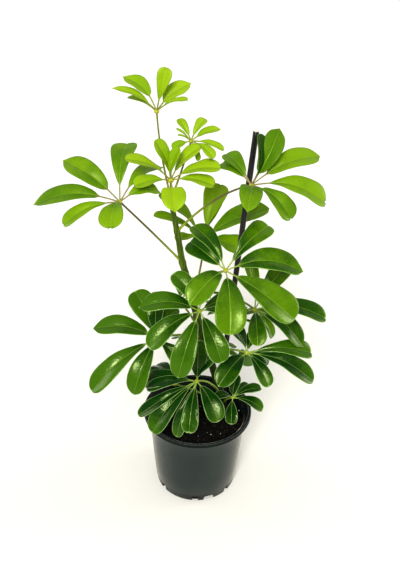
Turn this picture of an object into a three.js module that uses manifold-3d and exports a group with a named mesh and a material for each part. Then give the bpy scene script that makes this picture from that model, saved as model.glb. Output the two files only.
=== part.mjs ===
// A potted umbrella plant: a black nursery pot filled with soil, one leaning
// stem beside a thin black stake, and compound leaves. Each compound leaf is a
// stalk that ends in a hub, with leaflets round it like the ribs of an umbrella.
// Millimetres, +Z up, +X to the viewer's right, +Y away from the viewer. The
// origin is the centre of the pot's flat base, where it stands.
import * as THREE from "three";
import { mergeVertices } from "three/addons/utils/BufferGeometryUtils.js";
import Module from "manifold-3d";

const wasm = await Module();
wasm.setup();

// Pot
const POT_HEIGHT = 120;
const POT_SIDES = 40;
const BASE_RADIUS = 56;
const CHAMFER_HEIGHT = 12;
const FOOT_RADIUS = 58;
const SHOULDER_RADIUS = 66.5;
const SHOULDER_HEIGHT = 112;
const WALL = 2;
const FLOOR = 4;
const RIM_RADIUS = 74;
const RIM_INNER_RADIUS = 69;
const RIM_DEPTH = 5;
const RIDGE = 0.8;
const DRAIN_HEIGHT = 8;

// Drain notches in the pot's foot: degrees right of the front, width, and how
// far from the pot's middle they start. Each has a twin straight across the pot.
const DRAINS = [
  [-52, 8, 51],
  [0, 8, 53],
  [20, 15, 50.5],
  [50, 8, 52.5],
];

// Clearance between pieces that rest against each other
const GAP = 0.3;

// Soil
const SOIL_EDGE_HEIGHT = 103;
const SOIL_MOUND = 2;
const SOIL_RINGS = [1, 0.8, 0.6, 0.4, 0.2, 0];
const SOIL_LUMP = 0.8;
const SOIL_WAVE = { right: 7, back: 6 };

// Stake, a thin straight cane pushed into the soil behind the stem
const STAKE_RADIUS = 3.5;
const STAKE_SIDES = 12;
const STAKE_FOOT = [23, 20, 40];
const STAKE_TOP = [57, 20, 508];

// Stem: [right, back, up, radius] from its end in the soil to its tip
const STEM_SIDES = 10;
const STEM = [
  [38, 9, 62, 5.5],
  [36, 9, 104, 5.5],
  [33, 8, 134, 5.4],
  [22, 7, 175, 5.1],
  [5, 5, 231, 4.8],
  [-10, 4, 292, 4.4],
  [-19, 2, 330, 4.2],
  [-24, 2, 348, 4],
  [-29, 0, 382, 3.5],
  [-35, -2, 416, 3],
  [-38, -3, 442, 2.5],
];

// Leaf stalks and blades
const STALK_SIDES = 6;
const STALK_STEPS = 5;
const BLADE_THICKNESS = 0.8;
const LEAFLET_STALK_RADIUS = 0.8;
const FOLD = 0.3;

// Blade outline: [share of the way from hub to tip, share of the full width]
const OUTLINE = [
  [0.34, 0.5],
  [0.58, 0.88],
  [0.8, 0.99],
  [0.94, 0.74],
  [1, 0.24],
];

// Leaf ages, from the bright young crown to the dark old leaves at the foot:
// colour, droop of the blade as a share of its length, the share of a leaflet's
// length that is its own thin stalk, and the radius of the leaf's stalk at the
// stem and at the hub, and of the hub.
const YOUNG = { colour: 0x86c22c, droop: 0.11, stalk: 0.2, foot: 1.5, neck: 0.9, knob: 2.2 };
const GROWN = { colour: 0x63a52b, droop: 0.17, stalk: 0.2, foot: 1.6, neck: 1.1, knob: 2.6 };
const MATURE = { colour: 0x3f8427, droop: 0.16, stalk: 0.13, foot: 2.3, neck: 1.2, knob: 3 };
const OLD = { colour: 0x2a641f, droop: 0.15, stalk: 0.12, foot: 2.3, neck: 1.2, knob: 3 };

// One entry for each compound leaf. hub is the end of its stalk, from is the
// height where the stalk leaves the stem, bow is how far the stalk's middle bends
// off its straight line, tilt is how far the umbrella leans right and back. Each
// leaflet is [right, back, up, width]: where its tip lies from the hub, and its
// blade's width. After them come a twist in degrees where the blade turns on its
// rib, and a sway, the share of its length that its rib bends sideways. A leaf with
// a droop or a knob of its own has that in place of its age's.
const LEAVES = [
  {
    name: "leaf_crown",
    age: YOUNG,
    hub: [-54, 8, 531],
    knob: 3,
    from: 428,
    bow: [-3, 4, 0],
    tilt: [0, -0.2],
    leaflets: [
      [-38, 14, 33, 24, 0, 0.09],
      [-47, -8, 26, 16],
      [-33, 16, 10, 10],
      [11, -4, 48, 16, 55],
      [37, 14, 28, 20, 20, -0.02],
      [34, -14, 17, 12],
    ],
  },
  {
    name: "leaf_crown_small",
    age: YOUNG,
    hub: [-16, 12, 497],
    from: 433,
    bow: [1, 5, 0],
    tilt: [0, -0.3],
    leaflets: [
      [-15, 12, 21, 11],
      [-17, 3, 13, 4],
      [-15, -4, 8, 4],
      [15, 12, 22, 13],
      [33, 8, 12, 13],
      [37, -4, -8, 12],
      [26, -18, -13, 14],
      [-20, -9, -7, 14],
      [9, -8, -20, 7],
    ],
  },
  {
    name: "leaf_apex",
    age: YOUNG,
    hub: [-38, -4, 456],
    knob: 3.8,
    from: 441,
    bow: [0, 0, 0],
    tilt: [0, -0.3],
    leaflets: [
      [-17, -5, 48, 20],
      [-49, -20, 31, 20],
      [-40, -15, -2, 22],
      [10, -12, 43, 14, 40],
      [33, 2, 40, 20],
      [56, -5, 18, 24],
      [49, -12, 0, 21],
      [7, -44, -20, 28],
      [-2, 40, 18, 14],
    ],
  },
  {
    name: "leaf_upper_left",
    age: GROWN,
    hub: [-93, -30, 439],
    from: 347,
    bow: [0, 0, 1],
    tilt: [-0.15, -0.45],
    leaflets: [
      [-66, 26, 37, 28],
      [-97, -2, -6, 26],
      [-60, -22, -19, 21],
      [-4, -54, -6, 27],
      [3, 58, 47, 30],
      [41, 66, 17, 22],
      [41, 22, 6, 24],
    ],
  },
  {
    name: "leaf_upper_right",
    age: GROWN,
    hub: [53, -12, 456],
    from: 390,
    bow: [0, 0, 10],
    tilt: [0.15, -0.45],
    leaflets: [
      [-28, 38, 22, 21, -10],
      [-32, 33, 13, 21, -18],
      [5, 8, 57, 23, 50, -0.06],
      [29, 22, 59, 25, 0, 0.06],
      [78, 28, 26, 28],
      [83, -6, -15, 34],
      [43, -34, -24, 27],
      [-6, -50, -11, 26],
    ],
  },
  {
    name: "leaf_back_high",
    age: GROWN,
    hub: [2, 50, 356.5],
    from: 292,
    bow: [3, 0, 6],
    tilt: [0, 0],
    droop: 0.08,
    leaflets: [
      [19, 30, 61, 34],
      [82, 20, 35, 35, 15],
      [-58, 12, 53, 33],
      [-63, -10, 34, 27],
      [-36, -14, 4, 21],
      [50, -10, -11, 35, 15],
      [14, 60, 30, 24],
    ],
  },
  {
    name: "leaf_front_high",
    age: MATURE,
    hub: [27, -60, 372],
    from: 322,
    bow: [0, 0, 0],
    tilt: [0.1, -0.4],
    leaflets: [
      [-41, 30, 20, 29, -16, -0.05],
      [-38, 40, 35, 25],
      [48, 42, 37, 28],
      [88, 4, -1, 34, 0, -0.04],
      [77, -38, -38, 41, 0, 0.09],
      [5, -66, -42, 35],
      [-39, -46, -18, 30],
    ],
  },
  {
    name: "leaf_right_mid",
    age: MATURE,
    hub: [67, -15, 293],
    from: 300,
    bow: [0, 0, 12],
    tilt: [0.1, -0.4],
    leaflets: [
      [2, -50, -20, 23],
      [61, -24, -38, 28],
      [87, -6, -6, 28],
      [-13, 12, 68, 18],
      [42, 34, 50, 26],
      [-39, 2, -22, 22],
      [24, -8, -36, 14],
    ],
  },
  {
    name: "leaf_right_low",
    age: OLD,
    hub: [59, -40, 245],
    from: 214,
    bow: [0, 0, 4],
    tilt: [0.1, -0.4],
    leaflets: [
      [81, 8, -3, 27],
      [82, -24, -23, 27],
      [26, -40, -21, 20],
      [-35, -46, -18, 27],
      [-31, 4, 48, 22],
      [8, 22, 15, 14],
      [29, 4, -12, 20, 25],
      [0, 26, -40, 24],
    ],
  },
  {
    name: "leaf_front_mid",
    age: OLD,
    hub: [-1, -55, 314],
    from: 268,
    bow: [0, 0, 4],
    tilt: [0, -0.4],
    leaflets: [
      [-71, -8, 7, 27, 0, 0.06],
      [-57, -38, -28, 27],
      [-23, -46, -64, 28],
      [27, -46, -40, 27],
      [40, 8, 14, 20],
      [46, -16, 3, 20],
      [3, 18, 38, 18],
      [-32, 15, 41, 24],
    ],
  },
  {
    name: "leaf_left_mid",
    age: OLD,
    hub: [-54, -20, 249],
    from: 236,
    bow: [0, 0, 4],
    tilt: [-0.1, -0.4],
    leaflets: [
      [-80, -2, 13, 29, 0, 0.05],
      [-77, -52, -46, 30],
      [-26, -48, -53, 28],
      [-29, 24, 54, 32],
      [0, 18, 51, 22],
      [25, 20, 33, 20],
      [33, -16, -31, 24],
    ],
  },
  {
    name: "leaf_front_low",
    age: OLD,
    hub: [-2, -30, 190],
    from: 140,
    bow: [0, 0, 8],
    tilt: [0, -0.3],
    leaflets: [
      [-55, -48, -46, 28],
      [-8, -56, -37, 22],
      [28, -46, -27, 26],
      [-74, -28, -36, 19, 0, -0.06],
      [-68, 2, -7, 29],
      [-64, -12, -6, 19],
      [1, 8, 60, 24],
      [25, -2, 50, 23],
      [-24, -36, -63, 18],
    ],
  },
  {
    name: "leaf_base_right",
    age: OLD,
    hub: [47, -10, 148],
    knob: 2.2,
    from: 124,
    bow: [0, 0, 2],
    tilt: [0, -0.2],
    leaflets: [
      [40, -14, -8, 19],
      [38, 8, 12, 16],
      [21, 20, 9, 11],
      [-2, -32, -19, 17],
      [4, 8, 34, 16],
      [-24, -14, 12, 14],
    ],
  },
  {
    name: "leaf_back_left",
    age: MATURE,
    hub: [-28, 58, 255],
    from: 236,
    bow: [0, 0, 5],
    tilt: [-0.1, 0.2],
    leaflets: [
      [7, 68, -24, 26],
      [-42, 40, -32, 26],
      [-52, 6, -4, 24],
      [-32, -30, -16, 20],
      [42, 8, 2, 22],
      [34, 54, -12, 26],
    ],
  },
  {
    name: "leaf_back_right",
    age: MATURE,
    hub: [48, 55, 234],
    from: 204,
    bow: [0, 4, 5],
    tilt: [0.1, 0.2],
    leaflets: [
      [5, 66, -34, 28],
      [48, 44, -34, 27],
      [64, 4, -6, 25],
      [42, -22, -20, 20],
      [-35, 52, -10, 25],
      [-38, 8, -2, 20],
    ],
  },
  {
    name: "leaf_back_low",
    age: OLD,
    hub: [8, 48, 183],
    from: 162,
    bow: [0, 0, 5],
    tilt: [0, 0.2],
    leaflets: [
      [0, 66, -16, 27],
      [-44, 46, -14, 26],
      [-42, -4, -10, 20],
      [40, 42, -24, 25],
      [52, -4, -16, 20],
    ],
  },
  {
    name: "leaf_back_base",
    age: OLD,
    hub: [-33, 35, 132],
    from: 118,
    bow: [0, 0, 5],
    tilt: [-0.1, 0.1],
    leaflets: [
      [-46, 18, 8, 20],
      [-30, 46, -2, 22],
      [6, 54, 4, 22],
      [-42, -14, 6, 18],
      [30, 40, 5, 18],
    ],
  },
];

const vector = ([x, y, z]) => new THREE.Vector3(x, y, z);
const degrees = THREE.MathUtils.degToRad;

// A closed solid from a geometry whose faces meet all round.
function solidOf(geometry) {
  const plain = geometry.clone();
  plain.deleteAttribute("normal");
  plain.deleteAttribute("uv");
  const merged = mergeVertices(plain, 1e-4);
  return new wasm.Manifold(
    new wasm.Mesh({
      numProp: 3,
      vertProperties: new Float32Array(merged.attributes.position.array),
      triVerts: new Uint32Array(merged.index.array),
    }),
  );
}

// A named mesh from a solid.
function meshOf(name, solid, material) {
  const { vertProperties, triVerts } = solid.getMesh();
  const geometry = new THREE.BufferGeometry();
  geometry.setAttribute("position", new THREE.BufferAttribute(vertProperties, 3));
  geometry.setIndex(new THREE.BufferAttribute(triVerts, 1));
  geometry.computeVertexNormals();
  const mesh = new THREE.Mesh(geometry, material);
  mesh.name = name;
  return mesh;
}

// A closed skin over a row of rings with the same even number of corners. The
// first half of a ring is its upper face and the second half its lower face,
// and both are split into triangles along the same diagonals.
function loft(rings) {
  const corners = rings[0].length;
  const half = corners / 2;
  const index = [];
  for (let r = 0; r + 1 < rings.length; r++) {
    for (let i = 0; i < corners; i++) {
      const a = r * corners + i;
      const b = r * corners + ((i + 1) % corners);
      const c = b + corners;
      const d = a + corners;
      if (i < half) index.push(a, b, c, a, c, d);
      else index.push(a, b, d, b, c, d);
    }
  }
  const last = (rings.length - 1) * corners;
  for (let i = 0; i < half - 1; i++) {
    const [a, b, c, d] = [i, i + 1, corners - 2 - i, corners - 1 - i];
    index.push(a, c, b, a, d, c);
    index.push(last + a, last + b, last + c, last + a, last + c, last + d);
  }
  const geometry = new THREE.BufferGeometry().setFromPoints(rings.flat());
  geometry.setIndex(index);
  return solidOf(geometry);
}

// A round ring about a centre, square to the direction of travel.
function ring(centre, direction, radius, sides) {
  const across = new THREE.Vector3().crossVectors(direction, vector([0, 1, 0])).normalize();
  if (across.lengthSq() < 0.5) across.set(1, 0, 0);
  const other = new THREE.Vector3().crossVectors(direction, across).normalize();
  return Array.from({ length: sides }, (_, i) => {
    const angle = (2 * Math.PI * i) / sides;
    return centre
      .clone()
      .addScaledVector(across, radius * Math.cos(angle))
      .addScaledVector(other, radius * Math.sin(angle));
  });
}

// A round rod through points, with its own radius at each.
function rod(points, radii, sides) {
  const rings = points.map((point, i) => {
    const before = points[Math.max(i - 1, 0)];
    const after = points[Math.min(i + 1, points.length - 1)];
    const direction = after.clone().sub(before).normalize();
    return ring(point, direction, radii[i], sides);
  });
  return loft(rings);
}

function stemSolid(extra) {
  const points = STEM.map(vector);
  const radii = STEM.map(([, , , radius]) => radius + extra);
  return rod(points, radii, STEM_SIDES);
}

// The middle of the stem at a height.
function stemAt(height) {
  const above = Math.max(STEM.findIndex(([, , up]) => up >= height), 1);
  const [low, high] = [vector(STEM[above - 1]), vector(STEM[above])];
  return low.lerp(high, (height - low.z) / (high.z - low.z));
}

function stakeSolid(extra) {
  const foot = vector(STAKE_FOOT);
  const top = vector(STAKE_TOP);
  return rod([foot, top], [STAKE_RADIUS + extra, STAKE_RADIUS + extra], STAKE_SIDES);
}

// A solid turned about the upright axis from [radius, height] corners.
function turned(corners) {
  const profile = corners.map(([radius, height]) => new THREE.Vector2(radius, height));
  const geometry = new THREE.LatheGeometry(profile, POT_SIDES);
  geometry.rotateX(Math.PI / 2);
  return solidOf(geometry);
}

function potSolid() {
  const rimFoot = POT_HEIGHT - RIM_DEPTH;
  const shell = turned([
    [0, 0],
    [BASE_RADIUS, 0],
    [FOOT_RADIUS, CHAMFER_HEIGHT],
    [SHOULDER_RADIUS, SHOULDER_HEIGHT],
    [SHOULDER_RADIUS + WALL, rimFoot],
    [RIM_RADIUS, rimFoot],
    [RIM_RADIUS, POT_HEIGHT - RIDGE],
    [RIM_RADIUS - RIDGE, POT_HEIGHT],
    [RIM_RADIUS - 2 * RIDGE, POT_HEIGHT],
    [RIM_RADIUS - 3 * RIDGE, POT_HEIGHT - RIDGE],
    [RIM_INNER_RADIUS + 2 * RIDGE, POT_HEIGHT - RIDGE],
    [RIM_INNER_RADIUS + RIDGE, POT_HEIGHT],
    [RIM_INNER_RADIUS, POT_HEIGHT - RIDGE],
    [RIM_INNER_RADIUS, rimFoot + WALL],
    [SHOULDER_RADIUS - WALL, SHOULDER_HEIGHT],
    [FOOT_RADIUS - WALL, CHAMFER_HEIGHT],
    [BASE_RADIUS - WALL, FLOOR],
    [0, FLOOR],
  ]);
  let pot = shell;
  for (const [angle, width, start] of DRAINS) {
    const reach = RIM_RADIUS - start;
    for (const side of [0, 180]) {
      const notch = new THREE.BoxGeometry(width, reach, 2 * DRAIN_HEIGHT);
      notch.translate(0, -start - reach / 2, 0);
      notch.rotateZ(degrees(angle + side));
      pot = pot.subtract(solidOf(notch));
    }
  }
  return pot;
}

// Soil fills the pot to just under its rim, with a lumpy top and plain holes
// for the stem and the stake.
function soilSolid() {
  const inside = (height) =>
    THREE.MathUtils.mapLinear(height, CHAMFER_HEIGHT, SHOULDER_HEIGHT, FOOT_RADIUS, SHOULDER_RADIUS) -
    WALL -
    GAP;
  const edge = inside(SOIL_EDGE_HEIGHT);
  const mound = SOIL_RINGS.map((share) => [
    edge * share,
    SOIL_EDGE_HEIGHT + SOIL_MOUND * (1 - share * share),
  ]);
  const profile = [
    [0, FLOOR + GAP],
    [BASE_RADIUS - WALL - 2 * GAP, FLOOR + GAP],
    [inside(CHAMFER_HEIGHT), CHAMFER_HEIGHT],
    ...mound,
  ].map(([radius, height]) => new THREE.Vector2(radius, height));
  const geometry = new THREE.LatheGeometry(profile, POT_SIDES / 2);
  geometry.rotateX(Math.PI / 2);
  const place = geometry.attributes.position;
  for (let i = 0; i < place.count; i++) {
    if (place.getZ(i) < SOIL_EDGE_HEIGHT) continue;
    const wave = Math.sin(place.getX(i) / SOIL_WAVE.right) * Math.cos(place.getY(i) / SOIL_WAVE.back);
    place.setZ(i, place.getZ(i) + SOIL_LUMP * wave);
  }
  return solidOf(geometry).subtract(stemSolid(GAP)).subtract(stakeSolid(GAP));
}

// One blade on its own thin stalk, from the hub's middle to the tip.
function leafletSolid(hub, leaflet, axis, stalk, droop) {
  const [right, back, up, width, twist = 0, sway = 0] = leaflet;
  const reach = vector([right, back, up]);
  const along = reach.clone().normalize();
  const side = new THREE.Vector3().crossVectors(along, axis).normalize();
  side.applyAxisAngle(along, degrees(twist));
  const normal = new THREE.Vector3().crossVectors(side, along);
  const section = (share, halfWidth, thickness) => {
    const swing = reach.length() * Math.sin(Math.PI * share);
    const middle = hub.clone().addScaledVector(reach, share);
    middle.addScaledVector(normal, droop * swing).addScaledVector(side, sway * swing);
    const corner = (across, lift) =>
      middle
        .clone()
        .addScaledVector(side, across * halfWidth)
        .addScaledVector(normal, FOLD * halfWidth * Math.abs(across) + (lift * thickness) / 2);
    return [corner(-1, 1), corner(0, 1), corner(1, 1), corner(1, -1), corner(0, -1), corner(-1, -1)];
  };
  const thin = 2 * LEAFLET_STALK_RADIUS;
  return loft([
    section(0, LEAFLET_STALK_RADIUS, thin),
    section(stalk, LEAFLET_STALK_RADIUS, thin),
    ...OUTLINE.map(([share, spread]) => section(share, (spread * width) / 2, BLADE_THICKNESS)),
  ]);
}

// A whole compound leaf: its stalk, its hub and its leaflets in one solid, cut
// clear of the stem that carries it.
function leafSolid({ age, hub, from, bow, tilt, leaflets, droop = age.droop, knob = age.knob }) {
  const centre = vector(hub);
  const axis = vector([...tilt, 1]).normalize();
  const foot = stemAt(from);
  const bend = foot.clone().lerp(centre, 0.5);
  bend.addScaledVector(vector(bow), 2);
  const curve = new THREE.QuadraticBezierCurve3(foot, bend, centre);
  const points = curve.getPoints(STALK_STEPS);
  const radii = points.map((_, i) =>
    THREE.MathUtils.lerp(age.foot, age.neck, Math.sqrt(i / STALK_STEPS)),
  );
  const ball = new THREE.IcosahedronGeometry(knob, 0);
  ball.translate(centre.x, centre.y, centre.z);
  let leaf = rod(points, radii, STALK_SIDES).add(solidOf(ball));
  for (const leaflet of leaflets) {
    leaf = leaf.add(leafletSolid(centre, leaflet, axis, age.stalk, droop));
  }
  return leaf.subtract(stemSolid(GAP));
}

const finish = (color, roughness) => new THREE.MeshStandardMaterial({ color, roughness, metalness: 0 });

const plant = new THREE.Group();
plant.name = "potted_umbrella_plant";
plant.add(meshOf("pot", potSolid(), finish(0x1d2120, 0.45)));
plant.add(meshOf("soil", soilSolid(), finish(0x1c1512, 0.95)));
plant.add(meshOf("stake", stakeSolid(0), finish(0x111111, 0.5)));
plant.add(meshOf("stem", stemSolid(0), finish(0x5d6b2f, 0.6)));
for (const leaf of LEAVES) {
  plant.add(meshOf(leaf.name, leafSolid(leaf), finish(leaf.age.colour, 0.35)));
}

export default plant;
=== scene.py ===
"""The looks of a potted umbrella plant.

Every piece stands where the plain solid of the same name stands: finer leaves,
stem, stake, soil and pot. Sizes are millimetres, with +X to the viewer's right, +Y
away from the viewer and +Z up, and MM turns them into metres.
"""

import math
import random

import bmesh
import bpy
import numpy as np
from mathutils import Matrix, Vector, noise


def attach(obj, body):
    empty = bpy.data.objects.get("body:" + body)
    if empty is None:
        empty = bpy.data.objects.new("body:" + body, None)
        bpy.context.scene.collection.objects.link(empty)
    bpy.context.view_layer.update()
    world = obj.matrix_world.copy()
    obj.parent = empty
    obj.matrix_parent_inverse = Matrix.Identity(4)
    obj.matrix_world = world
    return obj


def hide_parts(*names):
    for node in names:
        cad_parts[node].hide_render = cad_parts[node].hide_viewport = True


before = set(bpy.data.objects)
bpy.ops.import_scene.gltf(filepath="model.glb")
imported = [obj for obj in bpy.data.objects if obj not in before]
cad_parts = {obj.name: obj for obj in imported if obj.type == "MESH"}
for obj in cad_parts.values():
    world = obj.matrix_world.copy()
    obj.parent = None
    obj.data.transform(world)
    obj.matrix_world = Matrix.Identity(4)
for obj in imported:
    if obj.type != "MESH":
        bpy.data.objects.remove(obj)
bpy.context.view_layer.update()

MM = 0.001
UP = np.array([0, 0, 1.0])
BODY = "root"

# Camera, fitted to the photograph's 400 by 570 pixels
PICTURE_LONG_SIDE = 570
FOCAL_LENGTH_PIXELS = 700
SENSOR_WIDTH = 36
CAMERA_PLACE = (-1.4, -747, 757)
CAMERA_PITCH = 30.5
CAMERA_ROLL = 1.6

# Floor, in metres
FLOOR_CORNERS = [(-9, -9, 0), (9, -9, 0), (9, 9, 0), (-9, 9, 0)]

# Light from all round, and the broad key light
HORIZON_LIGHT = 0.38
ZENITH_LIGHT = 0.75
KEY_STRENGTH = 2.2
KEY_SPREAD = 22
KEY_DIRECTION = (0.1, 0.8, -0.62)
KEY_COLOUR = (1, 0.98, 0.93)

# Soft lamps: place, target and size in metres, power in watts, colour
FRONT_LAMP = ((-0.25, -1.2, 1.15), (0, 0, 0.35), 0.42, 8.5, KEY_COLOUR)
LEFT_LAMP = ((-1.3, 0.35, 0.5), (0, 0, 0.15), 0.7, 4, (1, 0.97, 0.9))
RIGHT_LAMP = ((1.3, 0.35, 0.5), (0, 0, 0.15), 0.7, 7, (1, 0.97, 0.9))

# Pot
POT_HEIGHT = 120
POT_SIDES = 160
BASE_RADIUS = 56
CHAMFER_HEIGHT = 12
FOOT_RADIUS = 58
SHOULDER_RADIUS = 66.5
SHOULDER_HEIGHT = 112
WALL = 2
FLOOR = 4
RIM_RADIUS = 74
RIM_INNER_RADIUS = 69
RIM_DEPTH = 5
RIDGE = 0.8
EDGE_SOFTENING = 0.35
DRAIN_HEIGHT = 8

# Drain notches in the pot's foot: degrees right of the front, width, and how far
# from the pot's middle they start. Each has a twin straight across the pot.
DRAINS = [(-52, 8, 51), (0, 8, 53), (20, 15, 50.5), (50, 8, 52.5)]

# Soil
SOIL_EDGE_HEIGHT = 103
SOIL_MOUND = 2
SOIL_SIDES = 150
SOIL_RINGS = 64
SOIL_SEED = 7
SCATTER_RADIUS = 62
PERLITE_GRAINS = 30
BARK_BITS = 220
FIBRES = 20

# Stake, a thin straight cane pushed into the soil behind the stem
STAKE_RADIUS = 3.5
STAKE_FOOT = (23, 20, 40)
STAKE_TOP = (57, 20, 508)
STAKE_AT_SOIL = (28, 20)
STAKE_SIDES = 40
STAKE_ROWS = 60

# Stem: (right, back, up, radius) from its end in the soil to its tip
STEM = [
    (38, 9, 62, 5.5),
    (36, 9, 104, 5.5),
    (33, 8, 134, 5.4),
    (22, 7, 175, 5.1),
    (5, 5, 231, 4.8),
    (-10, 4, 292, 4.4),
    (-19, 2, 330, 4.2),
    (-24, 2, 348, 4),
    (-29, 0, 382, 3.5),
    (-35, -2, 416, 3),
    (-38, -3, 442, 2.5),
]
STEM_SIDES = 36
STEM_ROWS = 300
SCAR_HEIGHTS = range(112, 430, 17)
SCAR_CLEARANCE = 5

# Leaves
LEAF_SEED = 31
# Painted shade: the deep green that a leaflet given a tone below 0 is darkened towards
SHADED_GREEN = (0.002, 0.03, 0.003)
LEAFLET_STALK_RADIUS = 0.8
LEAF_STALK_SIDES = 14
LEAF_STALK_ROWS = 30
HUB_SIDES = 16
HUB_ROWS = 10
FOLD = 0.3
BLADE_THICKNESS = 0.6

# How a blade's outline runs: base is the power that its width starts with, blunt
# and end the powers that it closes with, and tip how far its edges run past the rib.
ROUND = {"base": 0.78, "blunt": 4.0, "end": 0.5, "tip": 0.0}
POINTED = {"base": 0.6, "blunt": 2.3, "end": 0.5, "tip": -0.3}
SHARP = {"base": 0.6, "blunt": 2.8, "end": 0.8, "tip": -0.2}
NOTCHED = {"base": 0.78, "blunt": 6.0, "end": 0.5, "tip": 0.1}
SQUARE = {"base": 0.85, "blunt": 8.0, "end": 0.5, "tip": 0.05}
HEART = {"base": 0.3, "blunt": 1.8, "end": 0.55, "tip": -0.2}
TAPERED = {"base": 0.7, "blunt": 2.5, "end": 0.5, "tip": -0.1}

# Leaf ages, from the bright young crown to the dark old leaves at the foot: each row
# gives one quality of a young, a grown, a mature and an old leaf
AGES = {
    "name": ("young", "grown", "mature", "old"),
    "droop": (0.11, 0.17, 0.16, 0.15),
    "stalk": (0.2, 0.2, 0.13, 0.12),
    "foot": (1.5, 1.6, 2.3, 2.3),
    "neck": (0.9, 1.1, 1.2, 1.2),
    "knob": (2.2, 2.6, 3, 3),
    "light": (
        (0.230, 0.350, 0.008),
        (0.145, 0.260, 0.002),
        (0.076, 0.168, 0.0015),
        (0.038, 0.105, 0.0015),
    ),
    "dark": (
        (0.15, 0.275, 0.003),
        (0.06, 0.145, 0.0015),
        (0.009, 0.050, 0.001),
        (0.002, 0.030, 0.001),
    ),
    "rib": ((0.32, 0.48, 0.04), (0.23, 0.38, 0.04), (0.20, 0.34, 0.04), (0.20, 0.33, 0.05)),
    "under": ((0.32, 0.52, 0.08), (0.20, 0.38, 0.07), (0.12, 0.25, 0.05), (0.09, 0.20, 0.04)),
    "leaflet_stalk": (
        (0.19, 0.17, 0.04),
        (0.20, 0.13, 0.075),
        (0.24, 0.30, 0.07),
        (0.26, 0.37, 0.07),
    ),
    "leaf_stalk": (
        (0.17, 0.19, 0.03),
        (0.23, 0.28, 0.03),
        (0.13, 0.18, 0.03),
        (0.15, 0.21, 0.035),
    ),
    "leaf_stalk_end": (
        (0.13, 0.11, 0.035),
        (0.09, 0.065, 0.04),
        (0.16, 0.20, 0.035),
        (0.22, 0.31, 0.05),
    ),
    "rim": ((0.14, 0.2, 0.02), (0.08, 0.15, 0.02), (0.20, 0.33, 0.08), (0.28, 0.42, 0.16)),
    "rib_share": (0.12, 0.32, 0.5, 0.42),
    "gloss": (0.42, 0.38, 0.24, 0.21),
    "shine": (0.3, 0.32, 0.27, 0.29),
    "sheen": (0.35, 0.35, 0.4, 0.5),
    "painted_tip_light": (0.1, 0.15, 0.4, 0.5),
    "quilt": (0.4, 0.4, 0.2, 0.2),
    "lumps": (0.5, 0.6, 1.1, 1.9),
    "pores": (0.00005, 0.00005, 0.0003, 0.0004),
}
YOUNG, GROWN, MATURE, OLD = (
    {quality: values[i] for quality, values in AGES.items()} for i in range(4)
)
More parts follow.
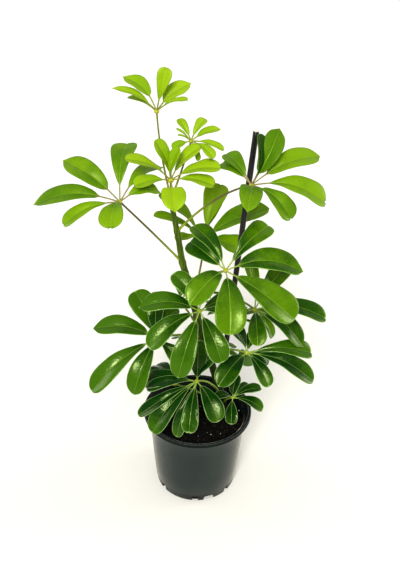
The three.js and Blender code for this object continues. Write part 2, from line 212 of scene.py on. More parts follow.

# The compound leaves. hub is the end of a leaf's stalk, from is the height where the
# stalk leaves the stem, bow is how far the stalk's middle bends off its straight line,
# and tilt is how far the umbrella leans right and back. Each leaflet is (right, back,
# up, width, changes): where its tip lies from the hub, its blade's width, and what
# sets it apart: its outline, its twist in degrees, its crinkle in millimetres, its
# sway, the share of its length that its rib bends sideways, its stalk, the share of
# its length that comes before the blade, or its tone, which replaces its random
# lightness and carries painted light and shade: below 0 it darkens the leaflet,
# painted shade where it lies in shade, and near 1 and above it lightens it, painted
# light where it catches the light.
LEAVES = {
    "leaf_crown": {
        "age": YOUNG,
        "hub": (-54, 8, 531),
        "knob": 3,
        "from": 428,
        "bow": (-3, 4, 0),
        "tilt": (0, -0.2),
        "leaflets": [
            (-38, 14, 33, 24, {"outline": SHARP, "sway": 0.09, "stalk": 0.3}),
            (-47, -8, 26, 16, {"outline": SHARP}),
            (-33, 16, 10, 10, {"tone_and_painted_shading": 1.5}),
            (11, -4, 48, 16, {"twist": 55, "outline": SQUARE, "stalk": 0.28}),
            (37, 14, 28, 20, {"outline": SHARP, "twist": 20, "sway": -0.02, "stalk": 0.22}),
            (34, -14, 17, 12),
        ],
    },
    "leaf_crown_small": {
        "age": YOUNG,
        "hub": (-16, 12, 497),
        "from": 433,
        "bow": (1, 5, 0),
        "tilt": (0, -0.3),
        "leaflets": [
            (-15, 12, 21, 11),
            (-17, 3, 13, 4),
            (-15, -4, 8, 4),
            (15, 12, 22, 13, {"outline": SQUARE}),
            (33, 8, 12, 13, {"outline": POINTED}),
            (37, -4, -8, 12),
            (26, -18, -13, 14),
            (-20, -9, -7, 14),
            (9, -8, -20, 7),
        ],
    },
    "leaf_apex": {
        "age": YOUNG,
        "hub": (-38, -4, 456),
        "knob": 3.8,
        "from": 441,
        "bow": (0, 0, 0),
        "tilt": (0, -0.3),
        "leaflets": [
            (-17, -5, 48, 20),
            (-49, -20, 31, 20),
            (-40, -15, -2, 22),
            (10, -12, 43, 14, {"twist": 40}),
            (33, 2, 40, 20),
            (56, -5, 18, 24),
            (49, -12, 0, 21, {"outline": NOTCHED}),
            (7, -44, -20, 28, {"outline": HEART, "stalk": 0.32}),
            (-2, 40, 18, 14),
        ],
    },
    "leaf_upper_left": {
        "age": GROWN,
        "hub": (-93, -30, 439),
        "from": 347,
        "bow": (0, 0, 1),
        "tilt": (-0.15, -0.45),
        "leaflets": [
            (-66, 26, 37, 28, {"outline": SHARP}),
            (-97, -2, -6, 26, {"outline": SHARP}),
            (-60, -22, -19, 21, {"outline": NOTCHED}),
            (-4, -54, -6, 27, {"outline": NOTCHED}),
            (3, 58, 47, 30, {"outline": SQUARE, "tone_and_painted_shading": 0.1}),
            (41, 66, 17, 22),
            (41, 22, 6, 24),
        ],
    },
    "leaf_upper_right": {
        "age": GROWN,
        "hub": (53, -12, 456),
        "from": 390,
        "bow": (0, 0, 10),
        "tilt": (0.15, -0.45),
        "leaflets": [
            (-28, 38, 22, 21, {"twist": -10}),
            (-32, 33, 13, 21, {"twist": -18}),
            (5, 8, 57, 23, {"twist": 50, "sway": -0.06, "tone_and_painted_shading": -2}),
            (29, 22, 59, 25, {"outline": POINTED, "sway": 0.06, "tone_and_painted_shading": -0.4}),
            (78, 28, 26, 28, {"outline": POINTED}),
            (83, -6, -15, 34, {"outline": NOTCHED}),
            (43, -34, -24, 27, {"outline": NOTCHED}),
            (-6, -50, -11, 26, {"outline": HEART}),
        ],
    },
    "leaf_back_high": {
        "age": GROWN,
        "hub": (2, 50, 356.5),
        "from": 292,
        "bow": (3, 0, 6),
        "tilt": (0, 0),
        "droop": 0.08,
        "leaflets": [
            (19, 30, 61, 34, {"outline": SQUARE, "tone_and_painted_shading": 1.6}),
            (82, 20, 35, 35, {"outline": TAPERED, "twist": 15, "stalk": 0.12}),
            (-58, 12, 53, 33),
            (-63, -10, 34, 27, {"tone_and_painted_shading": 1.8}),
            (-36, -14, 4, 21, {"tone_and_painted_shading": 1.8}),
            (50, -10, -11, 35, {"twist": 15}),
            (14, 60, 30, 24),
        ],
    },
    "leaf_front_high": {
        "age": MATURE,
        "hub": (27, -60, 372),
        "from": 322,
        "bow": (0, 0, 0),
        "tilt": (0.1, -0.4),
        "leaflets": [
            (-41, 30, 20, 29, {"twist": -16, "sway": -0.05, "tone_and_painted_shading": -0.5}),
            (-38, 40, 35, 25, {"tone_and_painted_shading": -0.3}),
            (48, 42, 37, 28, {"outline": SQUARE}),
            (88, 4, -1, 34, {"outline": POINTED, "sway": -0.04}),
            (77, -38, -38, 41, {"sway": 0.09, "tone_and_painted_shading": 0.75}),
            (5, -66, -42, 35),
            (-39, -46, -18, 30, {"outline": TAPERED}),
        ],
    },
    "leaf_right_mid": {
        "age": MATURE,
        "hub": (67, -15, 293),
        "from": 300,
        "bow": (0, 0, 12),
        "tilt": (0.1, -0.4),
        "leaflets": [
            (2, -50, -20, 23, {"tone_and_painted_shading": 0.1}),
            (61, -24, -38, 28, {"outline": POINTED, "tone_and_painted_shading": -0.2}),
            (87, -6, -6, 28, {"outline": NOTCHED, "tone_and_painted_shading": -0.4}),
            (-13, 12, 68, 18, {"stalk": 0.32}),
            (42, 34, 50, 26),
            (-39, 2, -22, 22),
            (24, -8, -36, 14),
        ],
    },
    "leaf_right_low": {
        "age": OLD,
        "hub": (59, -40, 245),
        "from": 214,
        "bow": (0, 0, 4),
        "tilt": (0.1, -0.4),
        "leaflets": [
            (81, 8, -3, 27, {"outline": SQUARE}),
            (82, -24, -23, 27, {"tone_and_painted_shading": 0}),
            (26, -40, -21, 20, {"tone_and_painted_shading": 0.1}),
            (-35, -46, -18, 27, {"outline": TAPERED, "tone_and_painted_shading": -0.2}),
            (-31, 4, 48, 22, {"tone_and_painted_shading": -0.7}),
            (8, 22, 15, 14, {"tone_and_painted_shading": -0.7}),
            (29, 4, -12, 20, {"twist": 25, "tone_and_painted_shading": -1}),
            (0, 26, -40, 24, {"tone_and_painted_shading": -1}),
        ],
    },
    "leaf_front_mid": {
        "age": OLD,
        "hub": (-1, -55, 314),
        "from": 268,
        "bow": (0, 0, 4),
        "tilt": (0, -0.4),
        "leaflets": [
            (-71, -8, 7, 27, {"outline": POINTED, "sway": 0.06, "tone_and_painted_shading": 0.9}),
            (-57, -38, -28, 27),
            (-23, -46, -64, 28, {"outline": TAPERED, "tone_and_painted_shading": 1, "crinkle": 0.5}),
            (27, -46, -40, 27, {"crinkle": 0.5}),
            (40, 8, 14, 20),
            (46, -16, 3, 20),
            (3, 18, 38, 18),
            (-32, 15, 41, 24),
        ],
    },
    "leaf_left_mid": {
        "age": OLD,
        "hub": (-54, -20, 249),
        "from": 236,
        "bow": (0, 0, 4),
        "tilt": (-0.1, -0.4),
        "leaflets": [
            (-80, -2, 13, 29, {"outline": POINTED, "sway": 0.05, "tone_and_painted_shading": 1.2}),
            (-77, -52, -46, 30, {"crinkle": 0.5, "tone_and_painted_shading": 1.1}),
            (-26, -48, -53, 28, {"outline": TAPERED, "crinkle": 0.5, "tone_and_painted_shading": 0.9}),
            (-29, 24, 54, 32, {"tone_and_painted_shading": 0.9}),
            (0, 18, 51, 22),
            (25, 20, 33, 20),
            (33, -16, -31, 24),
        ],
    },
    "leaf_front_low": {
        "age": OLD,
        "hub": (-2, -30, 190),
        "from": 140,
        "bow": (0, 0, 8),
        "tilt": (0, -0.3),
        "leaflets": [
            (-55, -48, -46, 28, {"crinkle": 0.6, "tone_and_painted_shading": -0.2}),
            (-8, -56, -37, 22, {"outline": NOTCHED, "crinkle": 1.1, "tone_and_painted_shading": -0.2}),
            (28, -46, -27, 26, {"tone_and_painted_shading": -0.4}),
            (-74, -28, -36, 19, {"sway": -0.06, "tone_and_painted_shading": -0.5}),
            (-68, 2, -7, 29, {"tone_and_painted_shading": -0.9}),
            (-64, -12, -6, 19, {"tone_and_painted_shading": -0.7}),
            (1, 8, 60, 24, {"tone_and_painted_shading": -0.3}),
            (25, -2, 50, 23, {"tone_and_painted_shading": -0.3}),
            (-24, -36, -63, 18, {"tone_and_painted_shading": -0.2}),
        ],
    },
    "leaf_base_right": {
        "age": OLD,
        "hub": (47, -10, 148),
        "knob": 2.2,
        "from": 124,
        "bow": (0, 0, 2),
        "tilt": (0, -0.2),
        "leaflets": [
            (40, -14, -8, 19, {"tone_and_painted_shading": -0.3}),
            (38, 8, 12, 16, {"tone_and_painted_shading": -0.4}),
            (21, 20, 9, 11, {"tone_and_painted_shading": -0.4}),
            (-2, -32, -19, 17, {"tone_and_painted_shading": -0.5}),
            (4, 8, 34, 16, {"tone_and_painted_shading": -0.9}),
            (-24, -14, 12, 14, {"tone_and_painted_shading": -0.8}),
        ],
    },
    "leaf_back_left": {
        "age": MATURE,
        "hub": (-28, 58, 255),
        "from": 236,
        "bow": (0, 0, 5),
        "tilt": (-0.1, 0.2),
        "leaflets": [
            (7, 68, -24, 26),
            (-42, 40, -32, 26),
            (-52, 6, -4, 24, {"outline": NOTCHED}),
            (-32, -30, -16, 20),
            (42, 8, 2, 22),
            (34, 54, -12, 26),
        ],
    },
    "leaf_back_right": {
        "age": MATURE,
        "hub": (48, 55, 234),
        "from": 204,
        "bow": (0, 4, 5),
        "tilt": (0.1, 0.2),
        "leaflets": [
            (5, 66, -34, 28, {"outline": NOTCHED}),
            (48, 44, -34, 27),
            (64, 4, -6, 25),
            (42, -22, -20, 20),
            (-35, 52, -10, 25),
            (-38, 8, -2, 20),
        ],
    },
    "leaf_back_low": {
        "age": OLD,
        "hub": (8, 48, 183),
        "from": 162,
        "bow": (0, 0, 5),
        "tilt": (0, 0.2),
        "leaflets": [
            (0, 66, -16, 27),
            (-44, 46, -14, 26),
            (-42, -4, -10, 20),
            (40, 42, -24, 25, {"outline": NOTCHED}),
            (52, -4, -16, 20),
        ],
    },
    "leaf_back_base": {
        "age": OLD,
        "hub": (-33, 35, 132),
        "from": 118,
        "bow": (0, 0, 5),
        "tilt": (-0.1, 0.1),
        "leaflets": [
            (-46, 18, 8, 20, {"tone_and_painted_shading": -1}),
            (-30, 46, -2, 22, {"tone_and_painted_shading": -1}),
            (6, 54, 4, 22),
            (-42, -14, 6, 18, {"tone_and_painted_shading": -0.8}),
            (30, 40, 5, 18),
        ],
    },
}

# A blade's mesh: its columns from rib to edge, and its rows
COLUMNS = (0, 0.09, 0.28, 0.5, 0.72, 0.9, 1)
BLADE_ROWS = 28
STALK_ROWS = 6
STALK_JOIN = 0.1
EDGE_THICKNESS = 0.5
RIB_DEPTH = 0.35
RIB_HEIGHT = 0.8
RIB_WIDTH = 1.1
EDGE_ROLL = 0.05

# How high the waves of a blade of common width stand
WAVE_HEIGHT = 0.8
COMMON_WIDTH = 28

# What each point of a leaf carries: where it lies on its blade, how far it is from
# the rib and the edge, and whether it is on a stalk or the hub
LEAF_CHANNELS = ("blade", "edge", "kind")


# Points and faces


def unit(vector):
    return vector / np.linalg.norm(vector)


def smooth(share):
    share = min(max(share, 0), 1)
    return share * share * (3 - 2 * share)


def add_object(name, data):
    """A new object in the scene."""
    made = bpy.data.objects.new(name, data)
    bpy.context.scene.collection.objects.link(made)
    return made


def turn_angles(sides):
    """The angles of a ring's points, in radians."""
    return np.arange(sides) * (2 * math.pi / sides)


class Skin:
    """Points, faces and point values gathered for one piece."""

    def __init__(self, channels=()):
        self.channels = channels
        self.points = []
        self.faces = []
        self.values = {channel: [] for channel in channels}

    def loft(self, rings, values=None):
        """Joins a row of equal rings into a closed skin with flat ends."""
        start = len(self.points)
        corners = len(rings[0])
        for ring in rings:
            self.points.extend(tuple(point) for point in ring)
        for channel in self.channels:
            self.values[channel].extend(tuple(value) for value in values[channel])
        for row in range(len(rings) - 1):
            low = start + row * corners
            for i in range(corners):
                j = (i + 1) % corners
                self.faces.append((low + i, low + j, low + corners + j, low + corners + i))
        last = start + (len(rings) - 1) * corners
        self.faces.append(tuple(range(start, start + corners)))
        self.faces.append(tuple(range(last, last + corners)))

    def piece(self, name, material):
        """The finished object, faces out, in metres."""
        mesh = bpy.data.meshes.new(name)
        mesh.from_pydata([tuple(c * MM for c in point) for point in self.points], [], self.faces)
        for channel in self.channels:
            attribute = mesh.attributes.new(channel, "FLOAT_VECTOR", "POINT")
            flat = np.array(self.values[channel], np.float32).ravel()
            attribute.data.foreach_set("vector", flat)
        work = bmesh.new()
        work.from_mesh(mesh)
        bmesh.ops.recalc_face_normals(work, faces=work.faces)
        work.to_mesh(mesh)
        work.free()
        mesh.polygons.foreach_set("use_smooth", [True] * len(mesh.polygons))
        mesh.materials.append(material)
        return add_object(name, mesh)


def circle(centre, direction, radius, sides, start=(0, 1, 0)):
    """Points of a ring about a centre, square to a direction. radius may vary round it."""
    across = unit(np.cross(direction, start))
    other = np.cross(direction, across)
    angles = turn_angles(sides)
    level = np.outer(radius * np.cos(angles), across)
    upright = np.outer(radius * np.sin(angles), other)
    return centre + level + upright


def settle(piece, node):
    """Puts a finished piece in the place of the plain solid that it stands for."""
    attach(piece, BODY)
    if node:
        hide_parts(node)


# Leaves


def spread(share, outline):
    """Half width of a blade as a share of its widest, from its foot at 0 to its tip at 1."""
    def raw(s):
        return s ** outline["base"] * (1 - s ** outline["blunt"]) ** outline["end"]

    widest = max(raw(i / 40) for i in range(41))
    return raw(min(share, 0.9985)) / widest


def stem_at(height):
    """The middle of the stem at a height."""
    heights = [point[2] for point in STEM]
    columns = [[point[axis] for point in STEM] for axis in range(3)]
    return np.array([np.interp(height, heights, column) for column in columns])


def add_leaflet(skin, hub, leaflet, axis, stalk, droop, draw):
    """One blade on its own thin stalk, from the hub's middle to the tip."""
    reach, width = np.array(leaflet[:3], float), leaflet[3]
    changes = leaflet[4] if len(leaflet) > 4 else {}
    outline = changes.get("outline", ROUND)
    crinkle = changes.get("crinkle", 0)
    stalk = changes.get("stalk", stalk)
    length = np.linalg.norm(reach)
    along = reach / length
    side = unit(np.cross(along, axis))
    twist = math.radians(changes.get("twist", 0))
    side = side * math.cos(twist) + np.cross(along, side) * math.sin(twist)
    normal = np.cross(side, along)
    # A given tone replaces the random draw: below 0 it carries painted shade, near 1 and above
    # painted light
    seed = changes.get("tone_and_painted_shading", draw.random())
    waves = [(draw.uniform(1.2, 2.4), draw.uniform(0, 2 * math.pi)) for _ in range(2)]
    wave_height = WAVE_HEIGHT * draw.uniform(0.5, 1.2) * width / COMMON_WIDTH
    sway = (changes.get("sway", 0) + draw.uniform(-0.02, 0.02)) * length

    across = [*COLUMNS[::-1], *(-c for c in COLUMNS[1:])]
    upper = [(u, 1) for u in across]
    lower = [(u, 0) for u in reversed(across)]
    corners = upper + lower
    count = len(corners)

    shares = [stalk * i / STALK_ROWS for i in range(STALK_ROWS)]
    shares += [stalk + (1 - stalk) * smooth(i / BLADE_ROWS) for i in range(BLADE_ROWS + 1)]
    rings = []
    values = {channel: [] for channel in LEAF_CHANNELS}
    for share in shares:
        s = max((share - stalk) / (1 - stalk), 0)
        swing = math.sin(math.pi * share)
        middle = hub + reach * share + normal * droop * length * swing + side * sway * swing
        travel = reach + normal * droop * length * math.pi * math.cos(math.pi * share)
        forward = unit(travel)
        lift = unit(np.cross(side, forward))
        half = spread(s, outline) * width / 2
        formed = smooth(s / STALK_JOIN)
        thin = BLADE_THICKNESS / 2
        ring = []
        for i, (u, top) in enumerate(corners):
            angle = 2 * math.pi * (i + 0.5) / count
            round_x = LEAFLET_STALK_RADIUS * math.cos(angle)
            round_z = LEAFLET_STALK_RADIUS * math.sin(angle)
            spread_out = abs(u)
            rate, phase = waves[0 if u > 0 else 1]
            rise = FOLD * half * (1.5 * spread_out - 0.5 * spread_out**2)
            rise -= EDGE_ROLL * half * spread_out**8
            rise += wave_height * spread_out**2 * math.sin(2 * math.pi * rate * s + phase) * swing
            rib = math.exp(-((u * half / RIB_WIDTH) ** 2))
            if crinkle:
                ripple = noise.noise(Vector((u * 3, s * 9, seed)))
                rise += crinkle * ripple * smooth((s - 0.3) / 0.5)
            thick = thin * (1 - (1 - EDGE_THICKNESS) * spread_out**2)
            if top:
                rise += thick - RIB_DEPTH * rib * (1 - 0.6 * s)
            else:
                rise -= thick + RIB_HEIGHT * rib * (1 - s) ** 0.6
            shift = outline["tip"] * width / 2 * spread_out**2 * s**5
            x = round_x + (u * half - round_x) * formed
            z = round_z + (rise - round_z) * formed
            ring.append(middle + side * x + lift * z + forward * shift)
            rim = min((1 - spread_out) * half, (1 - s) * length * 0.5)
            values["blade"].append((u, s, seed))
            values["edge"].append((spread_out * half, rim, top))
            values["kind"].append((1 - formed, 0, 0))
        rings.append(ring)
    skin.loft(rings, values)


def add_plain(skin, rings, kind):
    """Lofts rings that have no blade, with one kind of colouring all over."""
    shares = [i / (len(rings) - 1) for i, ring in enumerate(rings) for _ in ring]
    count = len(shares)
    blade = [(0, share, 0.5) for share in shares]
    skin.loft(rings, {"blade": blade, "edge": [(9, 9, 1)] * count, "kind": [kind] * count})


def add_leaf_stalk(skin, leaf, hub):
    """The stalk that carries a whole leaf, with a wider foot that clasps the stem."""
    age = leaf["age"]
    foot = stem_at(leaf["from"])
    bend = (foot + hub) / 2 + 2 * np.array(leaf["bow"], float)
    rings = []
    for i in range(LEAF_STALK_ROWS + 1):
        t = i / LEAF_STALK_ROWS
        point = (1 - t) ** 2 * foot + 2 * t * (1 - t) * bend + t * t * hub
        travel = unit((1 - t) * (bend - foot) + t * (hub - bend))
        radius = age["foot"] + (age["neck"] - age["foot"]) * math.sqrt(t)
        clasp = math.exp(-((np.linalg.norm(point - foot) / 7) ** 2))
        neck = math.exp(-((np.linalg.norm(point - hub) / 5) ** 2))
        radius *= 1 + 0.35 * clasp + 0.25 * neck
        rings.append(circle(point, travel, radius, LEAF_STALK_SIDES))
    add_plain(skin, rings, (0, 1, 0))


def add_hub(skin, hub, axis, radius):
    """The knob where the leaflets meet, a little flattened and lumpy."""
    rings = []
    lumps = 1 + 0.08 * np.sin(turn_angles(HUB_SIDES) * 7)
    for i in range(HUB_ROWS + 1):
        turn = math.pi * (0.03 + 0.94 * i / HUB_ROWS)
        centre = hub + axis * (-radius * 0.85 * math.cos(turn))
        rings.append(circle(centre, axis, radius * math.sin(turn) * lumps, HUB_SIDES))
    add_plain(skin, rings, (0, 0, 1))


def make_leaf(name, leaf, material, draw):
    """One compound leaf: its stalk, its hub and its leaflets."""
    age = leaf["age"]
    hub = np.array(leaf["hub"], float)
    axis = unit(np.array([*leaf["tilt"], 1], float))
    skin = Skin(LEAF_CHANNELS)
    add_leaf_stalk(skin, leaf, hub)
    add_hub(skin, hub, axis, leaf.get("knob", age["knob"]))
    droop = leaf.get("droop", age["droop"])
    for leaflet in leaf["leaflets"]:
        add_leaflet(skin, hub, leaflet, axis, age["stalk"], droop, draw)
    settle(skin.piece(name + "_foliage", material), name)


# Stem and stake


def make_stem(material):
    """The stem, with a swelling where each leaf joins and rings left by old leaves."""
    heights = np.array([point[2] for point in STEM], float)
    joins = sorted(leaf["from"] for leaf in LEAVES.values())
    scars = []
    for height in SCAR_HEIGHTS:
        if min(abs(height - join) for join in joins) > SCAR_CLEARANCE:
            scars.append(height)
    angles = turn_angles(STEM_SIDES)
    top_height, top_radius = STEM[-1][2:]
    tip = stem_at(top_height)
    rings = []
    for i in range(STEM_ROWS + 1):
        height = heights[0] + (heights[-1] - heights[0]) * i / STEM_ROWS
        point, ahead = stem_at(height - 3), stem_at(height + 3)
        middle = (point + stem_at(height) + ahead) / 3
        middle[2] = height
        radius = np.interp(height, heights, [point[3] for point in STEM])
        for join in joins:
            radius += 0.7 * math.exp(-(((height - join) / 3.5) ** 2))
        for scar in scars:
            radius += 0.28 * math.exp(-(((height - scar) / 1.6) ** 2))
            radius -= 0.2 * math.exp(-(((height - scar - 2.2) / 0.7) ** 2))
        ridges = 1 + 0.02 * np.sin(angles * 5 + height / 22)
        ridges += 0.012 * np.sin(angles * 9 - height / 13)
        travel = unit(ahead - point if i < STEM_ROWS else tip - stem_at(top_height - 12))
        rings.append(circle(middle, travel, radius * ridges, STEM_SIDES))
    for shrink, lift in ((0.85, 1.2), (0.55, 2.4), (0.2, 3.2)):
        rings.append(circle(tip + UP * lift, UP, top_radius * shrink, STEM_SIDES))
    skin = Skin()
    skin.loft(rings)
    settle(skin.piece("stem_bark", material), "stem")


def make_stake(skin_material, cut_material):
    """The cane, faintly ribbed along its length, and its pale cut end."""
    foot, top = np.array(STAKE_FOOT, float), np.array(STAKE_TOP, float)
    travel = unit(top - foot)
    length = np.linalg.norm(top - foot)
    angles = turn_angles(STAKE_SIDES)
    ribs = 1 + 0.018 * np.sin(angles * 6) + 0.01 * np.sin(angles * 11 + 1)
    rings = []
    for i in range(STAKE_ROWS + 1):
        share = i / STAKE_ROWS
        sway = 1 + 0.012 * math.sin(share * 23) + 0.008 * math.sin(share * 51)
        middle = foot + travel * length * share
        rings.append(circle(middle, travel, STAKE_RADIUS * ribs * sway, STAKE_SIDES))
    rings[-1] = rings[-1] - travel * 0.3
    rings.append(circle(top, travel, (STAKE_RADIUS - 0.35) * ribs, STAKE_SIDES))
    skin = Skin()
    skin.loft(rings)
    settle(skin.piece("stake_cane", skin_material), "stake")
    end = Skin()
    end_rings = []
    for rise, inset in ((-0.6, 0.6), (0.25, 0.6), (0.4, 0.9)):
        radius = (STAKE_RADIUS - inset) * ribs
        end_rings.append(circle(top + travel * rise, travel, radius, STAKE_SIDES))
    end.loft(end_rings)
    settle(end.piece("stake_cut_end", cut_material), None)


# Pot and soil


def turned(name, profile, sides, material):
    """A solid turned about the upright axis from (radius, height) corners."""
    skin = Skin()
    rings = []
    for radius, height in profile:
        rings.append(circle(UP * height, UP, max(radius, 0.01), sides))
    skin.loft(rings)
    return skin.piece(name, material)


def arc(centre, radius, start, end, steps=5):
    """Corners on an arc in the (radius, height) plane, angles in degrees."""
    angles = [math.radians(start + (end - start) * i / steps) for i in range(steps + 1)]
    return [(centre[0] + radius * math.cos(a), centre[1] + radius * math.sin(a)) for a in angles]


def drain_cutters():
    """Boxes that cut the drain notches out of the pot's foot."""
    work = bmesh.new()
    for angle, width, start in DRAINS:
        reach = RIM_RADIUS - start
        shift = Matrix.Translation((0, -(start + reach / 2) * MM, 0))
        size = Matrix.Diagonal((width * MM, reach * MM, 2 * DRAIN_HEIGHT * MM, 1))
        for side in (0, 180):
            turn = Matrix.Rotation(math.radians(angle + side), 4, "Z")
            bmesh.ops.create_cube(work, size=1, matrix=turn @ shift @ size)
    mesh = bpy.data.meshes.new("drain_cutters")
    work.to_mesh(mesh)
    work.free()
    return add_object("drain_cutters", mesh)


def freeze(piece):
    """Applies a piece's modifiers to its mesh."""
    bpy.context.view_layer.update()
    graph = bpy.context.evaluated_depsgraph_get()
    piece.data = bpy.data.meshes.new_from_object(piece.evaluated_get(graph))
    piece.modifiers.clear()


def make_pot(material):
    """The pot: its wall, its rolled rim with two ridges, and its notched foot."""
    rim_foot = POT_HEIGHT - RIM_DEPTH
    crest = POT_HEIGHT - RIDGE
    spread_out = SHOULDER_RADIUS - FOOT_RADIUS
    rise = SHOULDER_HEIGHT - CHAMFER_HEIGHT
    wall = []
    for share in (0.25, 0.5, 0.75):
        wall.append((FOOT_RADIUS + share * spread_out, CHAMFER_HEIGHT + share * rise))
    profile = [
        (0, 0.6),
        (BASE_RADIUS - 6, 0.6),
        (BASE_RADIUS - 5, 0),
        *arc((BASE_RADIUS - 1, 1), 1, -90, -15, 3),
        (FOOT_RADIUS - 0.8, CHAMFER_HEIGHT - 1.8),
        (FOOT_RADIUS - 0.2, CHAMFER_HEIGHT - 0.7),
        (FOOT_RADIUS, CHAMFER_HEIGHT),
        *wall,
        (SHOULDER_RADIUS, SHOULDER_HEIGHT),
        *arc((SHOULDER_RADIUS + WALL, SHOULDER_HEIGHT + 1.2), WALL - 0.4, 180, 90, 3),
        (RIM_RADIUS - 0.9, rim_foot - 0.2),
        *arc((RIM_RADIUS - 0.6, rim_foot + 0.6), 0.6, -90, 0, 3),
        *arc((RIM_RADIUS - RIDGE, crest), RIDGE, 0, 150),
        *arc((RIM_RADIUS - 2.5, crest + 0.2), 0.5, -30, -150, 3),
        *arc((RIM_INNER_RADIUS + 1.5 * RIDGE, crest), RIDGE, 45, 180),
        (RIM_INNER_RADIUS, rim_foot + WALL),
        (SHOULDER_RADIUS - WALL, SHOULDER_HEIGHT),
        (FOOT_RADIUS - WALL, CHAMFER_HEIGHT),
        (BASE_RADIUS - WALL, FLOOR),
        (0, FLOOR),
    ]
    pot = turned("pot_shell", profile, POT_SIDES, material)
    cutters = drain_cutters()
    cut = pot.modifiers.new("drains", "BOOLEAN")
    cut.operation = "DIFFERENCE"
    cut.solver = "EXACT"
    cut.object = cutters
    freeze(pot)
    bpy.data.objects.remove(cutters)
    soften = pot.modifiers.new("edges", "BEVEL")
    soften.width = EDGE_SOFTENING * MM
    soften.segments = 2
    soften.angle_limit = math.radians(38)
    freeze(pot)
    pot.data.polygons.foreach_set("use_smooth", [True] * len(pot.data.polygons))
    pot.data.set_sharp_from_angle(angle=math.radians(40))
    settle(pot, "pot")


def ground_height(x, y):
    """Height of the lumpy soil at a place."""
    share = math.hypot(x, y) / SHOULDER_RADIUS
    lumps = 1.5 * noise.fractal(Vector((x / 9, y / 9, 0.3)), 0.9, 2.1, 5)
    crumbs = 0.9 * noise.noise(Vector((x / 2.4, y / 2.4, 4.1)))
    return SOIL_EDGE_HEIGHT + SOIL_MOUND * (1 - share * share) + lumps + crumbs - 0.4


def make_soil(material):
    """The potting mix: a lumpy top on a body that fills the pot."""
    slope = (SHOULDER_RADIUS - FOOT_RADIUS) / (SHOULDER_HEIGHT - CHAMFER_HEIGHT)
    edge = FOOT_RADIUS + slope * (SOIL_EDGE_HEIGHT - CHAMFER_HEIGHT) - WALL - 0.1
    rings = [
        circle(UP * (FLOOR + 0.3), UP, 1, SOIL_SIDES),
        circle(UP * (FLOOR + 0.3), UP, BASE_RADIUS - WALL - 1, SOIL_SIDES),
        circle(UP * CHAMFER_HEIGHT, UP, FOOT_RADIUS - WALL - 0.3, SOIL_SIDES),
    ]
    for i in range(SOIL_RINGS):
        radius = max(edge * (1 - i / (SOIL_RINGS - 1)), 0.2)
        ring = circle(UP * 0, UP, radius, SOIL_SIDES)
        for point in ring:
            point[2] = ground_height(point[0], point[1])
        rings.append(ring)
    skin = Skin()
    skin.loft(rings)
    settle(skin.piece("soil_mix", material), "soil")


def add_crumb(skin, place, size, stretch, draw):
    """A rough lump of about that size, longer one way, lying anyhow."""
    turn = Matrix.Rotation(draw.uniform(0, math.pi), 3, "Z")
    turn = turn @ Matrix.Rotation(draw.uniform(-0.5, 0.5), 3, "X")
    rows, sides = 6, 9
    offset = draw.uniform(0, 50)
    rings = []
    for i in range(rows + 1):
        turn_up = math.pi * (0.06 + 0.88 * i / rows)
        ring = []
        for j in range(sides):
            turn_round = 2 * math.pi * j / sides
            point = Vector((
                math.sin(turn_up) * math.cos(turn_round),
                math.sin(turn_up) * math.sin(turn_round),
                math.cos(turn_up),
            ))
            rough = 1 + 0.45 * noise.noise(point * 1.3 + Vector((offset, 0, 0)))
            point = Vector((point.x * stretch, point.y, point.z * 0.75)) * (size / 2 * rough)
            ring.append(np.array(turn @ point) + place)
        rings.append(ring)
    skin.loft(rings)


def scatter(count, draw, keep_out=9):
    """Places on the soil, clear of the stem and the stake."""
    found = []
    while len(found) < count:
        radius = SCATTER_RADIUS * math.sqrt(draw.random())
        turn = draw.uniform(0, 2 * math.pi)
        x, y = radius * math.cos(turn), radius * math.sin(turn)
        near_stem = math.hypot(x - STEM[1][0], y - STEM[1][1]) < keep_out
        near_stake = math.hypot(x - STAKE_AT_SOIL[0], y - STAKE_AT_SOIL[1]) < keep_out / 2
        if not near_stem and not near_stake:
            found.append(np.array([x, y, ground_height(x, y)]))
    return found


def make_crumbs(perlite_material, bark_material, fibre_material, draw):
    """White grains, bits of bark and short fibres lying on the soil."""
    perlite = Skin()
    for place in scatter(PERLITE_GRAINS, draw):
        add_crumb(perlite, place, draw.uniform(0.8, 2.2), draw.uniform(1, 1.4), draw)
    settle(perlite.piece("soil_perlite", perlite_material), None)
    bark = Skin()
    for place in scatter(BARK_BITS, draw):
        add_crumb(bark, place, draw.uniform(1.4, 3.8), draw.uniform(1, 2.2), draw)
    settle(bark.piece("soil_bark_bits", bark_material), None)
    fibres = Skin()
    for place in scatter(FIBRES, draw):
        turn = draw.uniform(0, 2 * math.pi)
        length = draw.uniform(5, 13)
        bend = draw.uniform(-0.35, 0.35)
        rings = []
        for i in range(9):
            share = i / 8 - 0.5
            angle = turn + bend * share * 2
            x = place[0] + math.cos(angle) * length * share
            y = place[1] + math.sin(angle) * length * share
            height = ground_height(place[0], place[1]) + 1.0 - 2.2 * share * share
            centre = np.array([x, y, height])
            direction = np.array([math.cos(angle), math.sin(angle), 0])
            rings.append(circle(centre, direction, 0.35 * (1.1 - abs(share)), 6, (0, 0, 1)))
        fibres.loft(rings)
    settle(fibres.piece("soil_fibres", fibre_material), None)


# Materials


